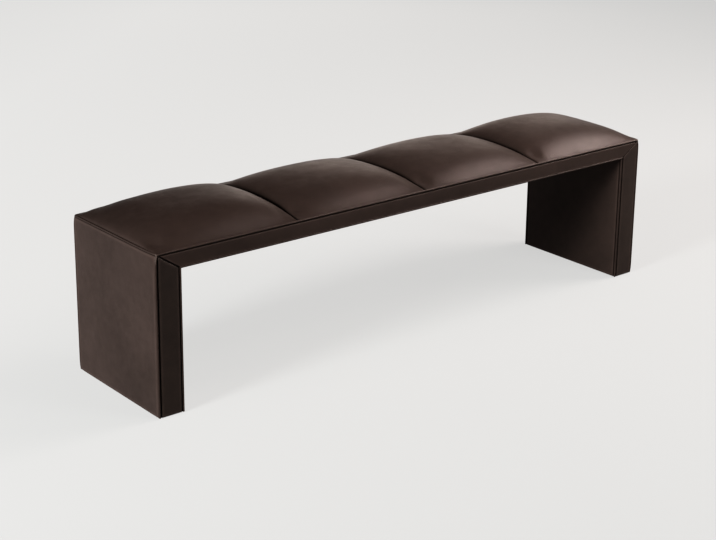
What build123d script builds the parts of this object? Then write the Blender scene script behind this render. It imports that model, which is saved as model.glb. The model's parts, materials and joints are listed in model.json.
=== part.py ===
from build123d import *
import math
import os

# Upholstered bed bench: two box legs and a slim seat rail, all mitred together,
# with four crowned cushions along the top. Millimetres, +X along the bench,
# front face towards -Y, +Z up. The origin is on the floor, under the middle.

# ---------------------------------------------------------------- dimensions
LENGTH = 1700.0          # outer end panel to outer end panel
DEPTH = 386.0            # front arris to rear arris
HEIGHT = 425.0           # floor to the arris round the seat
LEG_T = 74.0             # thickness of each leg, seen from the front
RAIL_H = 50.0            # height of the rail under the arris

LEATHER = 2.0            # upholstery leather
PADDING = 3.0            # foam-backed lining under the leather
WELT = LEATHER + PADDING  # raised edge welt fills this corner square
BOARD = 12.0             # plywood on the outside and the edges of a leg
INNER_BOARD = 12.0       # plywood on the inner side of a leg
UNDER_BOARD = 4.0        # hardboard under the seat
DECK = 9.0               # plywood seat deck

TUBE_W = 40.0            # width of every steel tube
SEAT_TUBE_H = 25.0       # seat frame tubes, height
LEG_TUBE_D = 30.0        # leg frame tubes, depth of the uprights
FOOT_TUBE_H = 20.0       # lower tube of a leg frame
WALL = 2.0               # steel tube wall
TUBE_R = 3.0             # outer corner radius of the tubes

GLIDE_R, GLIDE_T = 15.0, 4.0
GLIDE_X_IN, GLIDE_Y = 37.0, 150.0
SKIRT_Z = 2.0            # the leather stops this far above the floor
CLOTH_T = 0.8            # dust cloth under each leg

PUFFS = 4
CROWN = (45.2, 36.0, 36.0, 45.2)   # rise of each cushion above its own edges
SEAM_RISE = 12.9         # how far the middle of a sewn channel stands above the arris
EXP_X, POW_X = 2.18, 0.57  # cushion profile along the bench
EXP_Y, POW_Y = 4.44, 1.30  # cushion profile across the bench
EXP_SEAM = 1.63          # arch of the sewn channels across the bench
FOAM_GAP = 0.5           # clearance between foam and leather
CHANNEL_GAP = 3.5        # half of the groove between two foam pads

BOLT_R, BOLT_LEN, BOLT_AF, BOLT_HEAD = 4.0, 40.0, 13.0, 5.3
BOLT_Y = (-110.0, -45.0, 45.0, 110.0)
WASHER_R, WASHER_T = 8.0, 1.6
NUT_H = 6.8

SCREW_R, SCREW_HEAD_R, SCREW_HEAD_H, SCREW_LEN = 2.1, 4.0, 2.2, 17.0
SCREW_CLEAR = 0.15

# ------------------------------------------------------------ derived levels
HX, HY = LENGTH / 2, DEPTH / 2
RAIL_Z = HEIGHT - RAIL_H                  # underside of the seat, 375
LEATHER_TOP = RAIL_Z + LEATHER            # 377
TUBE_Z = LEATHER_TOP + UNDER_BOARD        # 381, top of the leg frames
DECK_Z = TUBE_Z + SEAT_TUBE_H             # 406
FOAM_Z = DECK_Z + DECK                    # 415
WELT_Z = HEIGHT - WELT                    # 420
BOARD_X = HX - WELT                       # 845, outer face of the outer board
STEEL_X = BOARD_X - BOARD                 # 833, outer face of the steel
STEEL_IN = STEEL_X - TUBE_W               # 793, inner face of the steel
INNER_X = STEEL_IN - INNER_BOARD          # 781, inner face of the inner board
LEG_IN = HX - LEG_T                       # 776, inner face of the leg
BOARD_Y = HY - WELT                       # 188, face of the edge boards
STEEL_Y = BOARD_Y - BOARD                 # 176, face of the steel
CAP_Z = GLIDE_T                           # 4, underside of the leg boards
FOOT_Z = CAP_Z + BOARD                    # 16, underside of the leg frames
LEG_TUBE_TOP = 30.0                       # height of the leg's top tube
BOLT_X = (STEEL_X + STEEL_IN) / 2
CHANNELS = [-LENGTH / 4, 0.0, LENGTH / 4]
ENDS = [-BOARD_X, *CHANNELS, BOARD_X]

assert abs(LEG_IN + WELT - INNER_X) < 1e-6, "the inner side of the leg must close up"

os.makedirs("parts", exist_ok=True)


def finish(piece, label):
    piece.part.label = label
    export_step(piece.part, f"parts/{label}.step")


def mitre_z(x):
    """Height of the mitre seam at x, from the outer top corner to the inner corner."""
    return HEIGHT - (HX - abs(x)) * RAIL_H / LEG_T


def mitre_x(z):
    return HX - (HEIGHT - z) * LEG_T / RAIL_H


# ------------------------------------------------------- master screw, bolt
# One countersunk screw, head up, with its head face at the origin.
with BuildPart() as screw:
    with BuildSketch(Plane.XZ) as s:
        with BuildLine() as l:
            Polyline((0, 0), (SCREW_HEAD_R, 0), (SCREW_R, -SCREW_HEAD_H),
                     (SCREW_R, -SCREW_LEN + 3.5), (0.4, -SCREW_LEN), (0, -SCREW_LEN), close=True)
        make_face()
    revolve(axis=Axis.Z)

with BuildPart() as screw_hole:
    with BuildSketch(Plane.XZ) as s:
        with BuildLine() as l:
            g = SCREW_CLEAR
            Polyline((0, 0), (SCREW_HEAD_R + g, 0), (SCREW_HEAD_R + g, -0.1), (SCREW_R + g, -SCREW_HEAD_H - g),
                     (SCREW_R + g, -SCREW_LEN + 3.5 - g), (0.4 + g, -SCREW_LEN - g), (0, -SCREW_LEN - g), close=True)
        make_face()
    revolve(axis=Axis.Z)

with BuildPart() as bolt:
    with BuildSketch(Plane.XY):
        RegularPolygon(BOLT_AF / 2, 6, major_radius=False)
    extrude(amount=BOLT_HEAD)
    with BuildSketch(Plane.XY):
        Circle(BOLT_R)
    extrude(amount=-BOLT_LEN)
    chamfer(bolt.faces().sort_by(Axis.Z)[0].edges(), 0.8)
    chamfer(bolt.faces().sort_by(Axis.Z)[-1].edges(), 0.4)

# Where the screws go. Each entry is a Location that turns the master screw's
# head face onto the board and its shank into the steel.
SEAT_SCREW_X = (-780.0, -560.0, -300.0, -120.0, 120.0, 300.0, 560.0, 780.0)
SEAT_SCREW_Y = STEEL_Y - TUBE_W / 2
deck_screw_places = [Location((x, sy * SEAT_SCREW_Y, FOAM_Z)) for x in SEAT_SCREW_X for sy in (-1, 1)]
UNDER_SCREW_X = (-740.0, -500.0, -240.0, 0.0, 240.0, 500.0, 740.0)
under_screw_places = [Location((x, sy * SEAT_SCREW_Y, LEATHER_TOP), (180, 0, 0)) for x in UNDER_SCREW_X for sy in (-1, 1)]
LEG_SCREW_Z = (70.0, 200.0, 330.0)
UPRIGHT_Y = STEEL_Y - LEG_TUBE_D / 2


def side_screws(sx):
    """Screws through the outer and the inner board of one leg into its uprights."""
    out, inn = [], []
    for z in LEG_SCREW_Z:
        for sy in (-1, 1):
            out.append(Location((sx * BOARD_X, sy * UPRIGHT_Y, z), (0, 90 * sx, 0)))
            inn.append(Location((sx * INNER_X, sy * UPRIGHT_Y, z), (0, -90 * sx, 0)))
    return out, inn


def edge_screws(sx):
    """Screws through the front and rear edge boards of one leg."""
    return [Location((sx * BOLT_X, sy * BOARD_Y, z + 25), (-90 * sy, 0, 0))
            for z in LEG_SCREW_Z[:2] + (285.0,) for sy in (-1, 1)]


RAIL_SCREW_X = (-650.0, -370.0, -60.0, 60.0, 370.0, 650.0)
RAIL_SCREW_Z = TUBE_Z + SEAT_TUBE_H / 2


def rail_screws(sy):
    return [Location((x, sy * BOARD_Y, RAIL_SCREW_Z), (-90 * sy, 0, 0)) for x in RAIL_SCREW_X]


leg_screw_places = {sx: (*side_screws(sx), edge_screws(sx)) for sx in (-1, 1)}
CAP_SCREW_Y = (-100.0, 100.0)
cap_screw_places = {sx: [Location((sx * BOLT_X, y, CAP_Z), (180, 0, 0)) for y in CAP_SCREW_Y] for sx in (-1, 1)}

# ------------------------------------------------------------- leg frames
for side, sx in (("left", -1), ("right", 1)):
    xc = sx * BOLT_X
    outer_places, inner_places, edge_places = leg_screw_places[sx]

    # Two steel uprights, front and rear, standing on the plywood foot cap.
    with BuildPart() as uprights:
        with BuildSketch(Plane.XY.offset(FOOT_Z)):
            with Locations((xc, -UPRIGHT_Y), (xc, UPRIGHT_Y)):
                RectangleRounded(TUBE_W, LEG_TUBE_D, TUBE_R)
                RectangleRounded(TUBE_W - 2 * WALL, LEG_TUBE_D - 2 * WALL, TUBE_R - WALL, mode=Mode.SUBTRACT)
        extrude(amount=TUBE_Z - LEG_TUBE_TOP - FOOT_Z)
        with Locations(*outer_places, *inner_places, *edge_places):
            add(screw_hole.part, mode=Mode.SUBTRACT)
    finish(uprights, f"{side}_leg_uprights")

    # Top tube of the leg frame, which the seat frame is bolted to.
    with BuildPart() as top_tube:
        with BuildSketch(Plane.XZ.offset(-STEEL_Y)):
            with Locations((xc, TUBE_Z - LEG_TUBE_TOP / 2)):
                RectangleRounded(TUBE_W, LEG_TUBE_TOP, TUBE_R)
                RectangleRounded(TUBE_W - 2 * WALL, LEG_TUBE_TOP - 2 * WALL, TUBE_R - WALL, mode=Mode.SUBTRACT)
        extrude(amount=2 * STEEL_Y)
        with BuildSketch(Plane.XY.offset(TUBE_Z - WALL - 1)):
            with Locations(*[(xc, y) for y in BOLT_Y]):
                Circle(BOLT_R + 0.5)
        extrude(amount=WALL + 2, mode=Mode.SUBTRACT)
    finish(top_tube, f"{side}_leg_top_tube")

    # Lower tube of the leg frame, between the uprights.
    with BuildPart() as foot_tube:
        with BuildSketch(Plane.XZ.offset(-(STEEL_Y - LEG_TUBE_D))):
            with Locations((xc, FOOT_Z + FOOT_TUBE_H / 2)):
                RectangleRounded(TUBE_W, FOOT_TUBE_H, TUBE_R)
                RectangleRounded(TUBE_W - 2 * WALL, FOOT_TUBE_H - 2 * WALL, TUBE_R - WALL, mode=Mode.SUBTRACT)
        extrude(amount=2 * (STEEL_Y - LEG_TUBE_D))
        with Locations(*cap_screw_places[sx]):
            add(screw_hole.part, mode=Mode.SUBTRACT)
    finish(foot_tube, f"{side}_leg_foot_tube")

    # Plywood sheathing of the leg.
    with BuildPart() as outer_board:
        with BuildSketch(Plane.YZ.offset(sx * STEEL_X)):
            with Locations((0, (CAP_Z + DECK_Z) / 2)):
                Rectangle(2 * BOARD_Y, DECK_Z - CAP_Z)
        extrude(amount=sx * BOARD)
        with Locations(*outer_places):
            add(screw_hole.part, mode=Mode.SUBTRACT)
    finish(outer_board, f"{side}_leg_outer_board")

    with BuildPart() as inner_board:
        with BuildSketch(Plane.YZ.offset(sx * INNER_X)):
            with Locations((0, (CAP_Z + TUBE_Z) / 2)):
                Rectangle(2 * BOARD_Y, TUBE_Z - CAP_Z)
        extrude(amount=sx * INNER_BOARD)
        with Locations(*inner_places):
            add(screw_hole.part, mode=Mode.SUBTRACT)
    finish(inner_board, f"{side}_leg_inner_board")

    with BuildPart() as edge_boards:
        with BuildSketch(Plane.XY.offset(CAP_Z)):
            with Locations((xc, -(STEEL_Y + BOARD / 2)), (xc, STEEL_Y + BOARD / 2)):
                Rectangle(TUBE_W, BOARD)
        extrude(amount=TUBE_Z - CAP_Z)
        with Locations(*edge_places):
            add(screw_hole.part, mode=Mode.SUBTRACT)
    finish(edge_boards, f"{side}_leg_edge_boards")

    # Plywood foot cap that closes the leg below and holds the glides.
    with BuildPart() as foot_cap:
        with BuildSketch(Plane.XY.offset(CAP_Z)):
            with Locations((xc, 0)):
                Rectangle(TUBE_W, 2 * STEEL_Y)
            with Locations((xc, -GLIDE_Y), (xc, GLIDE_Y)):
                Circle(SCREW_R + SCREW_CLEAR, mode=Mode.SUBTRACT)
        extrude(amount=BOARD)
        with Locations(*cap_screw_places[sx]):
            add(screw_hole.part, mode=Mode.SUBTRACT)
    finish(foot_cap, f"{side}_leg_foot_cap")

    # Lining under the leather: outer and inner sheets, front and rear strips.
    with BuildPart() as padding:
        with BuildSketch(Plane.YZ.offset(sx * BOARD_X)):
            with Locations((0, (CAP_Z + WELT_Z) / 2)):
                Rectangle(2 * BOARD_Y, WELT_Z - CAP_Z)
        extrude(amount=sx * PADDING)
        with BuildSketch(Plane.YZ.offset(sx * (INNER_X - PADDING))):
            with Locations((0, (CAP_Z + LEATHER_TOP) / 2)):
                Rectangle(2 * BOARD_Y, LEATHER_TOP - CAP_Z)
        extrude(amount=sx * PADDING)
        for plane in (Plane.XZ.offset(BOARD_Y), Plane.XZ.offset(-BOARD_Y - PADDING)):
            with BuildSketch(plane):
                with BuildLine():
                    Polyline((sx * BOARD_X, CAP_Z), (sx * BOARD_X, WELT_Z), (sx * mitre_x(WELT_Z), WELT_Z),
                             (sx * INNER_X, mitre_z(INNER_X)), (sx * INNER_X, CAP_Z), close=True)
                make_face()
            extrude(amount=PADDING)
    finish(padding, f"{side}_leg_padding")

    # Leather panels of the leg.
    with BuildPart() as outer_leather:
        with BuildSketch(Plane.YZ.offset(sx * (HX - LEATHER))):
            with Locations((0, (SKIRT_Z + WELT_Z) / 2)):
                Rectangle(2 * BOARD_Y, WELT_Z - SKIRT_Z)
        extrude(amount=sx * LEATHER)
    finish(outer_leather, f"{side}_leg_outer_leather")

    with BuildPart() as inner_leather:
        with BuildSketch(Plane.YZ.offset(sx * LEG_IN)):
            with Locations((0, (SKIRT_Z + RAIL_Z) / 2)):
                Rectangle(2 * BOARD_Y, RAIL_Z - SKIRT_Z)
        extrude(amount=sx * LEATHER)
    finish(inner_leather, f"{side}_leg_inner_leather")

    for face, plane in (("front", Plane.XZ.offset(HY - LEATHER)), ("rear", Plane.XZ.offset(-HY))):
        with BuildPart() as strip_leather:
            with BuildSketch(plane):
                with BuildLine():
                    Polyline((sx * BOARD_X, SKIRT_Z), (sx * BOARD_X, WELT_Z), (sx * mitre_x(WELT_Z), WELT_Z),
                             (sx * INNER_X, mitre_z(INNER_X)), (sx * INNER_X, SKIRT_Z), close=True)
                make_face()
            extrude(amount=LEATHER)
        finish(strip_leather, f"{side}_leg_{face}_leather")

    # Raised welts down the four upright corners of the leg.
    with BuildPart() as leg_welts:
        with BuildSketch(Plane.XY.offset(SKIRT_Z)):
            with Locations(*[(sx * (HX - WELT / 2), sy * (HY - WELT / 2)) for sy in (-1, 1)]):
                Rectangle(WELT, WELT)
        extrude(amount=WELT_Z - SKIRT_Z)
        with BuildSketch(Plane.XY.offset(SKIRT_Z)):
            with Locations(*[(sx * (LEG_IN + WELT / 2), sy * (HY - WELT / 2)) for sy in (-1, 1)]):
                Rectangle(WELT, WELT)
        extrude(amount=RAIL_Z - SKIRT_Z)
        outer_edges = [e for e in leg_welts.edges().filter_by(Axis.Z)
                       if abs(abs(e.center().Y) - HY) < 0.01
                       and min(abs(abs(e.center().X) - HX), abs(abs(e.center().X) - LEG_IN)) < 0.01]
        fillet(outer_edges, WELT / 2)
    finish(leg_welts, f"{side}_leg_welts")

    # Dust cloth under the leg, round the two glides.
    with BuildPart() as base_cloth:
        with BuildSketch(Plane.XY.offset(CAP_Z - CLOTH_T)):
            with Locations((sx * (BOARD_X + INNER_X) / 2, 0)):
                Rectangle(BOARD_X - INNER_X, 2 * BOARD_Y)
            with Locations((xc, -GLIDE_Y), (xc, GLIDE_Y)):
                Circle(GLIDE_R + 0.5, mode=Mode.SUBTRACT)
            with Locations(*[(xc, y) for y in CAP_SCREW_Y]):
                Circle(SCREW_HEAD_R + 1.0, mode=Mode.SUBTRACT)
        extrude(amount=CLOTH_T)
    finish(base_cloth, f"{side}_leg_base_cloth")

# --------------------------------------------------------------- seat frame
for face, sy in (("front", -1), ("rear", 1)):
    with BuildPart() as long_tube:
        with BuildSketch(Plane.YZ.offset(-STEEL_X)):
            with Locations((sy * SEAT_SCREW_Y, TUBE_Z + SEAT_TUBE_H / 2)):
                RectangleRounded(TUBE_W, SEAT_TUBE_H, TUBE_R)
                RectangleRounded(TUBE_W - 2 * WALL, SEAT_TUBE_H - 2 * WALL, TUBE_R - WALL, mode=Mode.SUBTRACT)
        extrude(amount=2 * STEEL_X)
        with Locations(*deck_screw_places, *under_screw_places, *rail_screws(sy)):
            add(screw_hole.part, mode=Mode.SUBTRACT)
    finish(long_tube, f"seat_{face}_long_tube")

# Five cross tubes; the end pair lies over the leg frames and takes the bolts.
CROSS_X = (-BOLT_X, *CHANNELS, BOLT_X)
with BuildPart() as cross_tubes:
    with BuildSketch(Plane.XZ.offset(-(STEEL_Y - TUBE_W))):
        with Locations(*[(x, TUBE_Z + SEAT_TUBE_H / 2) for x in CROSS_X]):
            RectangleRounded(TUBE_W, SEAT_TUBE_H, TUBE_R)
            RectangleRounded(TUBE_W - 2 * WALL, SEAT_TUBE_H - 2 * WALL, TUBE_R - WALL, mode=Mode.SUBTRACT)
    extrude(amount=2 * (STEEL_Y - TUBE_W))
    with BuildSketch(Plane.XY.offset(TUBE_Z - 1)):
        with Locations(*[(sx * BOLT_X, y) for sx in (-1, 1) for y in BOLT_Y]):
            Circle(BOLT_R + 0.5)
    extrude(amount=SEAT_TUBE_H + 2, mode=Mode.SUBTRACT)
finish(cross_tubes, "seat_cross_tubes")

# Bolts that clamp the seat frame onto the leg frames, with washers and weld nuts.
bolt_places = [Location((sx * BOLT_X, y, DECK_Z + WASHER_T)) for sx in (-1, 1) for y in BOLT_Y]
with BuildPart() as frame_bolts:
    with Locations(*bolt_places):
        add(bolt.part)
finish(frame_bolts, "frame_bolts")

with BuildPart() as bolt_washers:
    with BuildSketch(Plane.XY.offset(DECK_Z)):
        with Locations(*[(sx * BOLT_X, y) for sx in (-1, 1) for y in BOLT_Y]):
            Circle(WASHER_R)
            Circle(BOLT_R + 0.2, mode=Mode.SUBTRACT)
    extrude(amount=WASHER_T)
finish(bolt_washers, "bolt_washers")

with BuildPart() as weld_nuts:
    with BuildSketch(Plane.XY.offset(TUBE_Z - WALL)):
        with Locations(*[(sx * BOLT_X, y) for sx in (-1, 1) for y in BOLT_Y]):
            RegularPolygon(BOLT_AF / 2, 6, major_radius=False)
            Circle(BOLT_R + 0.1, mode=Mode.SUBTRACT)
    extrude(amount=-NUT_H)
finish(weld_nuts, "weld_nuts")

# ---------------------------------------------------------------- seat boards
with BuildPart() as deck:
    with BuildSketch(Plane.XY.offset(DECK_Z)):
        Rectangle(2 * BOARD_X, 2 * BOARD_Y)
        with Locations(*[(sx * BOLT_X, y) for sx in (-1, 1) for y in BOLT_Y]):
            Circle(12, mode=Mode.SUBTRACT)
    extrude(amount=DECK)
    with Locations(*deck_screw_places):
        add(screw_hole.part, mode=Mode.SUBTRACT)
finish(deck, "seat_deck")

for face, sy in (("front", -1), ("rear", 1)):
    with BuildPart() as rail_board:
        with BuildSketch(Plane.XZ.offset(STEEL_Y if sy < 0 else -BOARD_Y)):
            with BuildLine():
                Polyline((-INNER_X, LEATHER_TOP), (-INNER_X, TUBE_Z), (-STEEL_X, TUBE_Z), (-STEEL_X, DECK_Z),
                         (STEEL_X, DECK_Z), (STEEL_X, TUBE_Z), (INNER_X, TUBE_Z), (INNER_X, LEATHER_TOP), close=True)
            make_face()
        extrude(amount=BOARD)
        with Locations(*rail_screws(sy)):
            add(screw_hole.part, mode=Mode.SUBTRACT)
    finish(rail_board, f"{face}_rail_board")

with BuildPart() as under_board:
    with BuildSketch(Plane.XY.offset(LEATHER_TOP)):
        Rectangle(2 * INNER_X, 2 * STEEL_Y)
    extrude(amount=UNDER_BOARD)
    with Locations(*under_screw_places):
        add(screw_hole.part, mode=Mode.SUBTRACT)
finish(under_board, "underside_board")

# ------------------------------------------------------------------- screws
all_places = list(deck_screw_places) + list(under_screw_places) + rail_screws(-1) + rail_screws(1)
for sx in (-1, 1):
    for group in leg_screw_places[sx]:
        all_places += group
    all_places += cap_screw_places[sx]
with BuildPart() as board_screws:
    with Locations(*all_places):
        add(screw.part)
finish(board_screws, "board_screws")

# ------------------------------------------------------------ glides on feet
GLIDE_SCREW_R, GLIDE_HEAD_R, GLIDE_HEAD_H, GLIDE_SCREW_LEN = 2.1, 4.0, 2.0, 13.0
for sx, side in ((-1, "left"), (1, "right")):
    for sy, face in ((-1, "front"), (1, "rear")):
        with BuildPart() as glide:
            with BuildSketch(Plane.XY):
                with Locations((sx * BOLT_X, sy * GLIDE_Y)):
                    Circle(GLIDE_R)
            extrude(amount=GLIDE_T)
            chamfer(glide.faces().sort_by(Axis.Z)[0].edges(), 0.8)
            with BuildSketch(Plane.XY):
                with Locations((sx * BOLT_X, sy * GLIDE_Y)):
                    Circle(GLIDE_HEAD_R + 0.5)
            extrude(amount=2.6, mode=Mode.SUBTRACT)
            with BuildSketch(Plane.XY):
                with Locations((sx * BOLT_X, sy * GLIDE_Y)):
                    Circle(GLIDE_SCREW_R + SCREW_CLEAR)
            extrude(amount=GLIDE_T, mode=Mode.SUBTRACT)
        finish(glide, f"{side}_{face}_floor_glide")

with BuildPart() as glide_screws:
    glide_spots = [(sx * BOLT_X, sy * GLIDE_Y) for sx in (-1, 1) for sy in (-1, 1)]
    with BuildSketch(Plane.XY.offset(0.6)):
        with Locations(*glide_spots):
            Circle(GLIDE_HEAD_R)
    extrude(amount=GLIDE_HEAD_H)
    with BuildSketch(Plane.XY.offset(0.6)):
        with Locations(*glide_spots):
            Circle(GLIDE_SCREW_R)
    extrude(amount=GLIDE_SCREW_LEN)
finish(glide_screws, "glide_screws")

# ------------------------------------------------ leather and lining of the rail
for face, plane in (("front", Plane.XZ.offset(HY - LEATHER)), ("rear", Plane.XZ.offset(-HY))):
    with BuildPart() as rail_leather:
        with BuildSketch(plane):
            with BuildLine():
                Polyline((-mitre_x(WELT_Z), WELT_Z), (mitre_x(WELT_Z), WELT_Z),
                         (mitre_x(RAIL_Z + WELT), RAIL_Z + WELT), (-mitre_x(RAIL_Z + WELT), RAIL_Z + WELT), close=True)
            make_face()
        extrude(amount=LEATHER)
    finish(rail_leather, f"{face}_rail_leather")

with BuildPart() as rail_padding:
    for plane in (Plane.XZ.offset(BOARD_Y), Plane.XZ.offset(-BOARD_Y - PADDING)):
        with BuildSketch(plane):
            with BuildLine():
                Polyline((-mitre_x(WELT_Z), WELT_Z), (mitre_x(WELT_Z), WELT_Z),
                         (mitre_x(RAIL_Z + WELT), RAIL_Z + WELT), (-mitre_x(RAIL_Z + WELT), RAIL_Z + WELT), close=True)
            make_face()
        extrude(amount=PADDING)
finish(rail_padding, "rail_padding")

with BuildPart() as under_leather:
    with BuildSketch(Plane.XY.offset(RAIL_Z)):
        Rectangle(2 * (LEG_IN + LEATHER), 2 * BOARD_Y)
    extrude(amount=LEATHER)
finish(under_leather, "underside_leather")

# Welts along the lower edges of the rail, between the legs.
with BuildPart() as rail_welts:
    with BuildSketch(Plane.YZ.offset(-INNER_X)):
        with Locations(*[(sy * (HY - WELT / 2), RAIL_Z + WELT / 2) for sy in (-1, 1)]):
            Rectangle(WELT, WELT)
    extrude(amount=2 * INNER_X)
    low = [e for e in rail_welts.edges().filter_by(Axis.X)
           if abs(abs(e.center().Y) - HY) < 0.01 and abs(e.center().Z - RAIL_Z) < 0.01]
    fillet(low, WELT / 2)
finish(rail_welts, "rail_lower_welts")

# One welt ring round the seat, on the arris.
with BuildPart() as seat_welt:
    with BuildSketch(Plane.XY.offset(WELT_Z)):
        RectangleRounded(LENGTH, DEPTH, WELT / 2)
        Rectangle(2 * BOARD_X, 2 * BOARD_Y, mode=Mode.SUBTRACT)
    extrude(amount=WELT)
    ring = [e for e in seat_welt.edges().group_by(Axis.Z)[-1]
            if abs(e.center().Y) > BOARD_Y + 1 or abs(e.center().X) > BOARD_X + 1]
    fillet(ring, WELT / 2 - 0.2)
finish(seat_welt, "seat_welt")


# ------------------------------------------------------------- the cushions
def channel_rise(y):
    return SEAM_RISE * (1 - min(1.0, abs(y) / BOARD_Y) ** EXP_SEAM)


def seat_top(i, x, y):
    """Height of the leather over cushion i above the arris level."""
    x0, x1 = ENDS[i], ENDS[i + 1]
    s = min(1.0, max(0.0, (x - x0) / (x1 - x0)))
    u, v = abs(2 * s - 1), min(1.0, abs(y) / BOARD_Y)
    rise = CROWN[i] * (1 - u ** EXP_X) ** POW_X * (1 - v ** EXP_Y) ** POW_Y
    left = 0.0 if i == 0 else channel_rise(y)
    right = 0.0 if i == PUFFS - 1 else channel_rise(y)
    return rise + left * (1 - s) + right * s


STATIONS = [0.0, 0.012, 0.04, 0.09, 0.17, 0.28, 0.42, 0.5, 0.58, 0.72, 0.83, 0.91, 0.96, 0.988, 1.0]
ROWS = [-1.0, -0.9, -0.75, -0.55, -0.3, 0.0, 0.3, 0.55, 0.75, 0.9, 1.0]


def panel_top(i, x, r):
    """Height over cushion i along the straight runs between two stations."""
    x0, x1 = ENDS[i], ENDS[i + 1]
    xs = [x0 + (x1 - x0) * t for t in STATIONS]
    k = max(j for j in range(len(xs) - 1) if xs[j] <= x + 1e-9)
    f = (x - xs[k]) / (xs[k + 1] - xs[k])
    return (1 - f) * seat_top(i, xs[k], r * BOARD_Y) + f * seat_top(i, xs[k + 1], r * BOARD_Y)


for i in range(PUFFS):
    x0, x1 = ENDS[i], ENDS[i + 1]
    # Crowned foam block, glued on the deck.
    lo = x0 + (0.3 if i == 0 else CHANNEL_GAP)
    hi = x1 - (0.3 if i == PUFFS - 1 else CHANNEL_GAP)
    edge_y = BOARD_Y - 0.3
    inside = [x0 + (x1 - x0) * t for t in STATIONS if lo + 1 < x0 + (x1 - x0) * t < hi - 1]
    with BuildPart() as foam:
        for x in [lo, *inside, hi]:
            with BuildSketch(Plane.YZ.offset(x)):
                with BuildLine():
                    pts = [(r * edge_y, HEIGHT - LEATHER - FOAM_GAP + panel_top(i, x, r)) for r in ROWS]
                    Spline(*pts)
                    Polyline(pts[-1], (edge_y, FOAM_Z), (-edge_y, FOAM_Z), pts[0])
                make_face()
        loft(ruled=True)
    finish(foam, f"seat_foam_{i + 1}")

    # Leather panel over it, sewn to its neighbours along the channels.
    with BuildPart() as skin:
        for t in STATIONS:
            x = x0 + (x1 - x0) * t
            with BuildSketch(Plane.YZ.offset(x)):
                with BuildLine():
                    top = [(r * BOARD_Y, HEIGHT + seat_top(i, x, r * BOARD_Y)) for r in ROWS]
                    low = [(y, z - LEATHER) for y, z in top]
                    Spline(*top)
                    Line(top[-1], low[-1])
                    Spline(*low)
                    Line(low[0], top[0])
                make_face()
        loft(ruled=True)
    finish(skin, f"seat_leather_{i + 1}")

# Listing strips: cloth sewn under each channel seam, its hem held on the deck by a rod.
ROD_R, HEM_IN, HEM_OUT, STRIP_T = 1.0, 1.15, 1.6, 1.2
HEM_Z = FOAM_Z + HEM_OUT
STRIP_Y = 165.0
STRIP_DROP = 8.0         # top of the strip below the channel's seam line
with BuildPart() as listing_strips:
    for x in CHANNELS:
        with BuildSketch(Plane.YZ.offset(x - STRIP_T / 2)):
            with BuildLine():
                arch = [(y, HEIGHT - STRIP_DROP + channel_rise(y))
                        for y in [STRIP_Y * k / 6 for k in range(-6, 7)]]
                Polyline(*arch, (STRIP_Y, HEM_Z + HEM_IN + 0.15), (-STRIP_Y, HEM_Z + HEM_IN + 0.15), close=True)
            make_face()
        extrude(amount=STRIP_T)
    with BuildSketch(Plane.XZ.offset(-STRIP_Y)):
        with Locations(*[(x, HEM_Z) for x in CHANNELS]):
            Circle(HEM_OUT)
            Circle(HEM_IN, mode=Mode.SUBTRACT)
    extrude(amount=2 * STRIP_Y)
finish(listing_strips, "seam_listing_strips")

with BuildPart() as listing_rods:
    with BuildSketch(Plane.XZ.offset(-STRIP_Y)):
        with Locations(*[(x, HEM_Z) for x in CHANNELS]):
            Circle(ROD_R)
    extrude(amount=2 * STRIP_Y)
finish(listing_rods, "listing_rods")
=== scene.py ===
import json
import math
import bpy
import numpy as np
from mathutils import Matrix, Vector, noise


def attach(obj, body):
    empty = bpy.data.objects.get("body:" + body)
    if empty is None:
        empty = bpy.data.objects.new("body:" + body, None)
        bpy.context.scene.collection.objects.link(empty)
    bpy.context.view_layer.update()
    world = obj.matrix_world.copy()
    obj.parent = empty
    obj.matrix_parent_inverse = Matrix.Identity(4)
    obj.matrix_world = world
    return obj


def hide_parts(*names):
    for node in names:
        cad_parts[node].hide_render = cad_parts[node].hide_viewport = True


# Upholstered bed bench. Lengths in the tables below are millimetres in the part's own
# frame: +X along the bench, front face towards -Y, +Z up, origin on the floor.

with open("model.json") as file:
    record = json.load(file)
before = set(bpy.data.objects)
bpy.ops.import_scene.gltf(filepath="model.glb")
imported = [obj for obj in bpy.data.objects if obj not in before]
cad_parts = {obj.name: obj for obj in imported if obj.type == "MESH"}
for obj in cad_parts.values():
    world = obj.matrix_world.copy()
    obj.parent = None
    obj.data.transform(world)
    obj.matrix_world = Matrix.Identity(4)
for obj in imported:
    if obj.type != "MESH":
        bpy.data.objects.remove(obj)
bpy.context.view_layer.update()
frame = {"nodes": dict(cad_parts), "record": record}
NODES = frame["nodes"]
scene = bpy.context.scene
MM = 0.001

# ------------------------------------------------------------------ dimensions
HX, HY, TOP = 850.0, 193.0, 425.0      # half length, half depth, height of the arris
LEG_IN = 776.0                         # inner face of a leg
RAIL_Z = 375.0                         # underside of the rail
SKIRT_Z = 2.0                          # lower edge of the leather
LEG_T, RAIL_H = HX - LEG_IN, TOP - RAIL_Z
FOAM_Z = 415.0                         # top of the plywood deck
HIDE = 1.9                             # thickness of the leather
BEAD_R = 2.6                           # radius of the piped edges
BORDER = 7.6                           # from the arris to the folded edge of a flat panel, across the sewn groove
CHANNELS = (-425.0, 0.0, 425.0)
ENDS = (-845.0, *CHANNELS, 845.0)

# Shape of the four cushions (rise of each over its own edges, and the arch of the channels)
CROWN = (46.4, 36.6, 35.5, 44.1)
SEAM_RISE, EXP_SEAM = 12.9, 1.63
EXP_X, POW_X = 2.18, 0.57
EXP_Y, POW_Y = 4.44, 1.30
SEAT_Y = 188.0


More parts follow.
